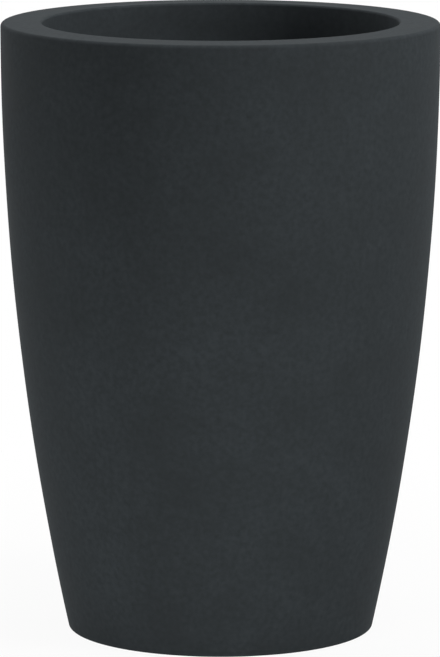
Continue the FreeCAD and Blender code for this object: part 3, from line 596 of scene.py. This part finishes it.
def soft_ends(bar_length, edge):
    """Places along a bar and the inset of its section there, for ends rounded by an edge and closed.

    At an end, place and inset follow a quarter circle: edge (1 - sin b) along and edge (1 - cos b) in.
    """
    bend = quarter_turn()
    first = edge * (1 - np.sin(bend))
    inset = edge * (1 - np.cos(bend))
    place = np.concatenate([[0.0], first[::-1], bar_length - first, [bar_length]])
    return place, np.concatenate([[SHUT], inset[::-1], inset, [SHUT]])


def finger_fin(fin_length, thickness, bottom, height, centre):
    """Upright finger grip: rounded rectangles stacked from just inside the head below it up to its top.

    A ring is inset by edge (1 - cos b) over the rounded top, and flares out by root (1 - sin b) at the foot.
    The first and the last ring shrink to a point and close the ends.
    """
    root, edge, corner, seat = (size * MM for size in (1.2, 1.4, 1.9, 0.5))
    bend = quarter_turn()
    flare = root * (1 - np.cos(bend))
    crown = height - edge + edge * np.sin(bend)
    level = np.concatenate([[-seat, -seat], flare, crown, [height]])
    inset = np.concatenate([[SHUT, -root], -root * (1 - np.sin(bend)), edge * (1 - np.cos(bend)), [SHUT]])
    x, y = rounded_rings(fin_length / 2, thickness / 2, inset, corner)
    z = np.broadcast_to((bottom + level)[:, None], x.shape)
    return np.stack([centre[0] + x, centre[1] + y, z], axis=-1)


def grip_bar(handle, side, deck):
    """Curved grip: a rounded rectangle carried along an arc, with soft ends and ribs across its top.

    The ribs lower the top by depth times half of 1 - cos(2 pi s / pitch), with s the place along the arc.
    They leave a quarter of the grip plain at each end, and reach down to 0.3 of its height above its middle.
    """
    plain_share, rib_steps, rib_floor = 0.25, 8, 0.3
    radius = handle.leg_radius
    run = radius * handle.span
    place, inset = soft_ends(run, handle.soft_edge)
    ribs = np.arange(plain_share * run, (1 - plain_share) * run, handle.rib_pitch / rib_steps)
    middle = len(place) // 2
    place = np.concatenate([place[:middle], ribs, place[middle:]])
    inset = np.concatenate([inset[:middle], np.zeros_like(ribs), inset[middle:]])
    up, across = rounded_rings(handle.grip_height / 2, handle.grip_width / 2, inset, handle.soft_edge)
    wave = np.zeros_like(place)
    wave[middle:middle + len(ribs)] = 0.5 - 0.5 * np.cos(2 * np.pi * (ribs - ribs[0]) / handle.rib_pitch)
    up = np.where(up > rib_floor * handle.grip_height, up - handle.rib_depth * wave[:, None], up)
    angle = side + place[:, None] / radius - handle.span / 2
    reach = radius + across
    z = deck + handle.grip_height / 2 + up
    return np.stack([reach * np.cos(angle), reach * np.sin(angle), z], axis=-1)


def leg_bar(handle, side, turn, foot, deck):
    """Upright leg: rounded rectangles stacked from its foot into the grip, wider on one side up to its stop.

    The stop's lower and upper edges are insets of edge (1 - sin b) and edge (1 - cos b), and its extra width
    is half on each side and then moved outwards by as much.
    """
    edge, corner = 0.8 * MM, 0.9 * MM
    bend = quarter_turn(4)
    radius = handle.leg_radius
    stop = foot + handle.stop_height
    top = deck + handle.grip_height / 2
    lower = foot + edge * (1 - np.cos(bend))
    upper = stop - edge + edge * np.sin(bend)
    level = np.concatenate([[foot], lower, upper, [stop, top, top]])
    inset = np.concatenate([[SHUT], edge * (1 - np.sin(bend)), edge * (1 - np.cos(bend)), [0.0, 0.0, SHUT]])
    in_stop = np.arange(len(level)) < 1 + len(lower) + len(upper)
    extra = np.where(in_stop, radius * handle.stop_span / 2, 0.0)
    half_arc = radius * handle.leg_span / 2
    across, along = rounded_rings(handle.leg_thickness / 2, half_arc + extra, inset, corner)
    angle = side + turn + (along + np.sign(turn) * extra[:, None]) / radius
    reach = radius + across
    z = np.broadcast_to(level[:, None], reach.shape)
    return np.stack([reach * np.cos(angle), reach * np.sin(angle), z], axis=-1)


def cap_line(cap, low, high):
    """Half section of the filler cap from its axis, round the hollow spigot and over the flat top."""
    trim, under_edge, lead_in, root, top_edge = (size * MM for size in (0.4, 0.5, 0.7, 0.8, 1.2))
    radius = (high[0] - low[0]) / 2
    top = high[2] - cap.fin_height
    under = top - cap.thickness
    hollow = cap.spigot_radius - cap.spigot_wall
    return rounded([(0.0, under, 0.0), (hollow, under, root), (hollow, low[2], trim),
                    (cap.spigot_radius, low[2], lead_in), (cap.spigot_radius, under, trim),
                    (radius, under, under_edge), (radius, top, top_edge), (0.0, top, 0.0)])


def bung_line(bung, low, high):
    """Half section of a bung from its axis, up the tapered stem and over the rounded head."""
    root, taper, under_edge, lead_in, top_edge = (size * MM for size in (0.3, 0.4, 0.5, 1.0, 1.6))
    head = (high[0] - low[0]) / 2
    stem = head - bung.flange
    top = high[2] - bung.fin_height
    seat = top - bung.head
    return rounded([(0.0, low[2], 0.0), (stem - taper, low[2], lead_in), (stem, seat, root),
                    (head, seat, under_edge), (head, top, top_edge), (0.0, top, 0.0)])


def make_floor(stage):
    """Flat floor 30 m across, a hair below the planter's foot so that the two flat faces don't mix."""
    half, level = 15.0, -0.3 * MM
    corners = [(-half, -half, level), (half, -half, level), (half, half, level), (-half, half, level)]
    mesh = bpy.data.meshes.new("studio_floor")
    mesh.from_pydata(corners, [], [(0, 1, 2, 3)])
    mesh.materials.append(floor_paint(stage))
    floor = bpy.data.objects.new("studio_floor", mesh)
    bpy.context.scene.collection.objects.link(floor)


def make_world(stage):
    """White surroundings to the eye, and a plain even light on the planter."""
    world = bpy.data.worlds.new("studio_surroundings")
    world.use_nodes = True
    tree = world.node_tree
    tree.nodes.clear()
    even = add_node(tree, "ShaderNodeBackground", {"Color": WHITE, "Strength": stage.world_level})
    white = add_node(tree, "ShaderNodeBackground", {"Color": WHITE, "Strength": 1.0})
    mix = add_node(tree, "ShaderNodeMixShader",
                   {0: seen_directly(tree), 1: even.outputs[0], 2: white.outputs[0]})
    add_node(tree, "ShaderNodeOutputWorld", {"Surface": mix.outputs[0]})
    bpy.context.scene.world = world


def make_lamp(name, power, size, place, target, spread):
    """Square soft lamp at a place, turned towards a target, with a beam that spreads by so many degrees."""
    data = bpy.data.lights.new(name, "AREA")
    data.energy = power
    data.size = size
    data.spread = math.radians(spread)
    lamp = bpy.data.objects.new(name, data)
    lamp.location = place
    aim = mathutils.Vector(target) - mathutils.Vector(place)
    lamp.rotation_euler = aim.to_track_quat("-Z", "Y").to_euler()
    bpy.context.scene.collection.objects.link(lamp)


def make_camera(stage):
    """Camera in front of the planter, with the focal length and the shift that the framing needs.

    A shift is a share of the image's height. The aim row is counted to a pixel's middle.
    """
    width, height = IMAGE_SIZE
    data = bpy.data.cameras.new("camera")
    data.sensor_fit = "VERTICAL"
    data.sensor_height = SENSOR_HEIGHT
    data.lens = stage.focal_pixels / height * SENSOR_HEIGHT
    data.shift_x = (width / 2 - stage.axis_pixel) / height
    data.shift_y = (stage.aim_pixel - height / 2 + HALF_PIXEL) / height
    data.clip_end = VIEW_END
    camera = bpy.data.objects.new("camera", data)
    camera.location = (0.0, -stage.camera_distance, stage.camera_height)
    camera.rotation_euler = (math.pi / 2 - stage.camera_tilt, 0.0, 0.0)
    bpy.context.scene.collection.objects.link(camera)
    bpy.context.scene.camera = camera


class PLANTER_OT_shell(bpy.types.Operator):
    """Moulded shell with its closed rim, inner lip, floor and foot ring"""

    bl_idname = "planter.shell"
    bl_label = "Shell"

    def execute(self, context):
        shell = context.scene.planter.shell
        skin = rotomoulded_polyethylene(shell)
        grid = sunk(spun(shell_line(shell), SHELL_COLUMNS), shell)
        new_piece("shell_skin", [grid], skin, "shell", "planter_shell", loop=True)
        return {"FINISHED"}


class PLANTER_OT_insert(bpy.types.Operator):
    """Finish of the planting insert, its separator, basket and filler tube"""

    bl_idname = "planter.insert"
    bl_label = "Planting insert"

    def execute(self, context):
        insert = context.scene.planter.insert
        black = moulded_plastic("moulded_black_polypropylene", insert.tint, insert.bloom)
        grey = moulded_plastic("moulded_grey_polypropylene", insert.plate_tint, insert.plate_bloom,
                               roughness=0.5)
        for node in ("planting_insert", "filler_tube"):
            finish_node(node, black)
        for node in ("separator_floor", "wick_basket"):
            finish_node(node, grey)
        return {"FINISHED"}


class PLANTER_OT_gauge(bpy.types.Operator):
    """Finish of the water gauge"""

    bl_idname = "planter.gauge"
    bl_label = "Water gauge"

    def execute(self, context):
        gauge = context.scene.planter.gauge
        clear = extruded_clear_plastic(gauge)
        finish_node("gauge_tube", clear)
        finish_node("gauge_cap", clear)
        finish_node("gauge_float", foamed_polystyrene(gauge))
        red = moulded_plastic("moulded_red_abs", gauge.rod_tint, gauge.rod_bloom, roughness=0.35)
        finish_node("gauge_rod", red)
        return {"FINISHED"}


class PLANTER_OT_bungs(bpy.types.Operator):
    """Rubber bungs of the shell and of the reserve"""

    bl_idname = "planter.bungs"
    bl_label = "Bungs"

    def execute(self, context):
        bung = context.scene.planter.bung
        rubber = pressed_rubber(bung)
        for node, body in (("drain_plug", "drain_bung"), ("reserve_plug", "reserve_bung")):
            low, high = (np.array(corner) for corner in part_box(node))
            centre = (low + high)[:2] / 2
            fin_length = high[0] - low[0] - bung.flange
            fin_bottom = high[2] - bung.fin_height
            grids = [spun(bung_line(bung, low, high), BUNG_COLUMNS, centre),
                     finger_fin(fin_length, bung.fin_thickness, fin_bottom, bung.fin_height, centre)]
            new_piece(f"{node}_rubber", grids, rubber, body, node)
        return {"FINISHED"}


class PLANTER_OT_handles(bpy.types.Operator):
    """Pair of lift handles with ribbed grips"""

    bl_idname = "planter.handles"
    bl_label = "Lift handles"

    def execute(self, context):
        handle = context.scene.planter.handle
        slate = moulded_plastic("moulded_slate_polypropylene", handle.tint, handle.bloom)
        for name, side in (("right", 0.0), ("left", math.pi)):
            node = f"lift_handle_{name}"
            low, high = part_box(node)
            deck = high[2] - handle.grip_height
            reach = (handle.span - handle.leg_span) / 2
            grids = [grip_bar(handle, side, deck)]
            grids += [leg_bar(handle, side, turn, low[2], deck) for turn in (-reach, reach)]
            new_piece(f"{node}_moulding", grids, slate, f"handle_{name}", node)
        return {"FINISHED"}


class PLANTER_OT_cap(bpy.types.Operator):
    """Filler cap with its hollow spigot and finger grip"""

    bl_idname = "planter.cap"
    bl_label = "Filler cap"

    def execute(self, context):
        cap = context.scene.planter.cap
        slate = moulded_plastic("moulded_slate_cap_polypropylene", cap.tint, cap.bloom)
        low, high = (np.array(corner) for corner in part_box("filler_cap"))
        centre = (low + high)[:2] / 2
        fin_bottom = high[2] - cap.fin_height
        grids = [spun(cap_line(cap, low, high), CAP_COLUMNS, centre),
                 finger_fin(2 * cap.spigot_radius, cap.fin_thickness, fin_bottom, cap.fin_height, centre)]
        new_piece("filler_cap_moulding", grids, slate, "filler_lid", "filler_cap")
        return {"FINISHED"}


class PLANTER_OT_stage(bpy.types.Operator):
    """Pale floor, soft lamps, white surroundings and the camera"""

    bl_idname = "planter.stage"
    bl_label = "Stage"

    def execute(self, context):
        stage = context.scene.planter.stage
        make_floor(stage)
        make_world(stage)
        for name, *setting in LAMPS:
            make_lamp(name, getattr(stage, f"{name}_power"), *setting)
        make_camera(stage)
        context.scene.view_settings.view_transform = "Standard"
        return {"FINISHED"}


class PLANTER_PT_panel(bpy.types.Panel):
    """Steps of the planter's looks, in order"""

    bl_idname = "PLANTER_PT_panel"
    bl_label = "Floor planter"
    bl_space_type = "VIEW_3D"
    bl_region_type = "UI"
    bl_category = "Planter"

    def draw(self, context):
        for step in STEPS:
            self.layout.operator(step.bl_idname)


SETTINGS = (ShellSettings, InsertSettings, HandleSettings, CapSettings, BungSettings, GaugeSettings,
            StageSettings, PlanterSettings)
STEPS = (PLANTER_OT_shell, PLANTER_OT_insert, PLANTER_OT_gauge, PLANTER_OT_bungs, PLANTER_OT_handles,
         PLANTER_OT_cap, PLANTER_OT_stage)


def register():
    """Add the settings, the steps and the panel."""
    for item in (*SETTINGS, *STEPS, PLANTER_PT_panel):
        bpy.utils.register_class(item)
    bpy.types.Scene.planter = bpy.props.PointerProperty(type=PlanterSettings)


def unregister():
    """Take the panel, the steps and the settings away."""
    del bpy.types.Scene.planter
    for item in reversed((*SETTINGS, *STEPS, PLANTER_PT_panel)):
        bpy.utils.unregister_class(item)


def main():
    """Make every piece and the stage."""
    register()
    bpy.ops.planter.shell()
    bpy.ops.planter.insert()
    bpy.ops.planter.gauge()
    bpy.ops.planter.bungs()
    bpy.ops.planter.handles()
    bpy.ops.planter.cap()
    bpy.ops.planter.stage()


if __name__ == "__main__":
    main()
